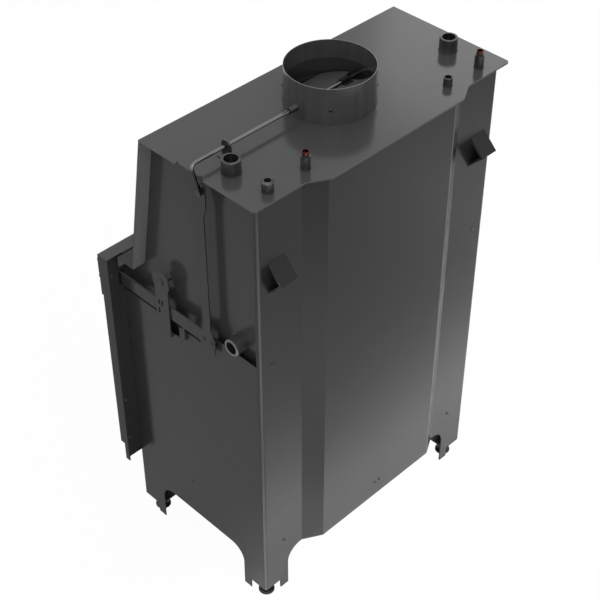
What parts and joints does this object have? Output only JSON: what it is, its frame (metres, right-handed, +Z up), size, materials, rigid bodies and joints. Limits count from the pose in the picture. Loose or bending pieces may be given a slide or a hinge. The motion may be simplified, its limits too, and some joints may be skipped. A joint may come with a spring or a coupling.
{
  "type": "water-jacket fireplace insert",
  "caption": "Free-standing steel fireplace insert with a water tank, glazed front door, flue damper on a pull bar, pipe sockets and levelling feet.",
  "frame": {"origin": "centre of the bounding box in x and y, on the floor under the levelling feet", "axes": "+Z up, -Y towards the door, +X towards the side with the damper linkage"},
  "size_m": [0.818, 0.58, 1.325],
  "materials": {
    "plate_paint": "semi-gloss grey paint",
    "casing_paint": "semi-gloss dark grey paint",
    "tank_paint": "semi-gloss dark grey paint on welded plate",
    "frame_paint": "matt black heat-resistant paint",
    "firebox_steel": "bare black boiler plate",
    "link_steel": "dark painted flat steel",
    "rod_steel": "drawn bright steel",
    "socket_steel": "semi-gloss grey paint over turned steel",
    "screw_steel": "blackened steel",
    "copper": "copper tube",
    "cast_iron": "rough cast iron",
    "glass": "glass-ceramic pane",
    "seal_rope": "braided glass rope",
    "foot_steel": "zinc-plated steel",
    "pan_steel": "galvanised sheet"
  },
  "bodies": {
    "insert": {"top_plate": "plate_paint", "rear_wall": "casing_paint", "side_panel_right": "casing_paint", "side_panel_left": "casing_paint", "front_plate": "casing_paint", "base_plate": "casing_paint", "lifting_lugs": "casing_paint", "flue_collar": "casing_paint", "tank_side_right": "tank_paint", "tank_side_left": "tank_paint", "front_shell": "tank_paint", "front_frame": "frame_paint", "front_header": "frame_paint", "hinge_bracket": "frame_paint", "hearth_plate": "firebox_steel", "firebox_side_right": "firebox_steel", "firebox_side_left": "firebox_steel", "firebox_back": "firebox_steel", "firebox_crown": "firebox_steel", "flue_throat": "firebox_steel", "lintel_shell": "firebox_steel", "water_tubes": "firebox_steel", "baffle_plate": "firebox_steel", "rod_bracket": "link_steel", "bar_guide": "link_steel", "bar_rest": "link_steel", "rod_bush": "link_steel", "hinge_pins": "rod_steel", "coil_sleeves": "socket_steel", "flow_sockets": "socket_steel", "return_sockets": "socket_steel", "sensor_socket": "socket_steel", "probe_socket": "socket_steel", "collar_screws": "screw_steel", "panel_screws": "screw_steel", "cooling_coil": "copper", "log_guard": "cast_iron", "foot_brackets": "foot_steel", "air_rails": "pan_steel"},
    "door": {"door_leaf": "frame_paint", "door_glass": "glass", "door_seal": "seal_rope", "glass_clips": "screw_steel"},
    "door_latch": {"door_handle": "rod_steel", "latch_cam": "screw_steel"},
    "damper_pull": {"pull_bar": "link_steel", "yoke_bar": "link_steel", "pull_grip": "frame_paint"},
    "damper": {"damper_rod": "rod_steel", "damper_disc": "firebox_steel", "damper_clip": "firebox_steel"},
    "air_control": {"air_slide": "pan_steel"},
    "loose_grate": {"grate": "cast_iron"},
    "loose_ash_pan": {"ash_pan": "pan_steel"},
    "foot_fr": {"foot_front_right": "foot_steel"},
    "foot_fl": {"foot_front_left": "foot_steel"},
    "foot_rr": {"foot_rear_right": "foot_steel"},
    "foot_rl": {"foot_rear_left": "foot_steel"}
  },
  "joints": [
    {"name": "door_hinge", "type": "hinge", "parent": "insert", "child": "door", "pos_m": [-0.39525, -0.23325, 0.4915], "axis": [0, 0, -1], "range_deg": [0, 110]},
    {"name": "door_latch_turn", "type": "hinge", "parent": "door", "child": "door_latch", "pos_m": [0.352, -0.249, 0.545], "axis": [0, 1, 0], "range_deg": [0, 90]},
    {"name": "damper_pull_slide", "type": "slide", "parent": "insert", "child": "damper_pull", "axis": [0, -1, 0], "range_m": [0, 0.0552]},
    {"name": "damper_turn", "type": "hinge", "parent": "insert", "child": "damper", "pos_m": [0, 0.087, 1.264], "axis": [-1, 0, 0], "range_deg": [0, 52]},
    {"name": "air_slide_travel", "type": "slide", "parent": "insert", "child": "air_control", "axis": [1, 0, 0], "range_m": [0, 0.05]},
    {"name": "grate_lift", "type": "slide", "parent": "insert", "child": "loose_grate", "axis": [0, 0, 1], "range_m": [0, 0.12]},
    {"name": "ash_pan_lift", "type": "slide", "parent": "insert", "child": "loose_ash_pan", "axis": [0, 0, 1], "range_m": [0, 0.12]},
    {"name": "foot_front_right_screw", "type": "hinge", "parent": "insert", "child": "foot_fr", "pos_m": [0.338, -0.179, 0.05], "axis": [0, 0, 1], "continuous": true},
    {"name": "foot_front_left_screw", "type": "hinge", "parent": "insert", "child": "foot_fl", "pos_m": [-0.338, -0.179, 0.05], "axis": [0, 0, 1], "continuous": true},
    {"name": "foot_rear_right_screw", "type": "hinge", "parent": "insert", "child": "foot_rr", "pos_m": [0.338, 0.218, 0.05], "axis": [0, 0, 1], "continuous": true},
    {"name": "foot_rear_left_screw", "type": "hinge", "parent": "insert", "child": "foot_rl", "pos_m": [-0.338, 0.218, 0.05], "axis": [0, 0, 1], "continuous": true}
  ],
  "couplings": [
    {"joint": "damper_turn", "follows": "damper_pull_slide", "rad_per_m": 16.413},
    {"joint": "ash_pan_lift", "follows": "grate_lift", "ratio": 1}
  ]
}
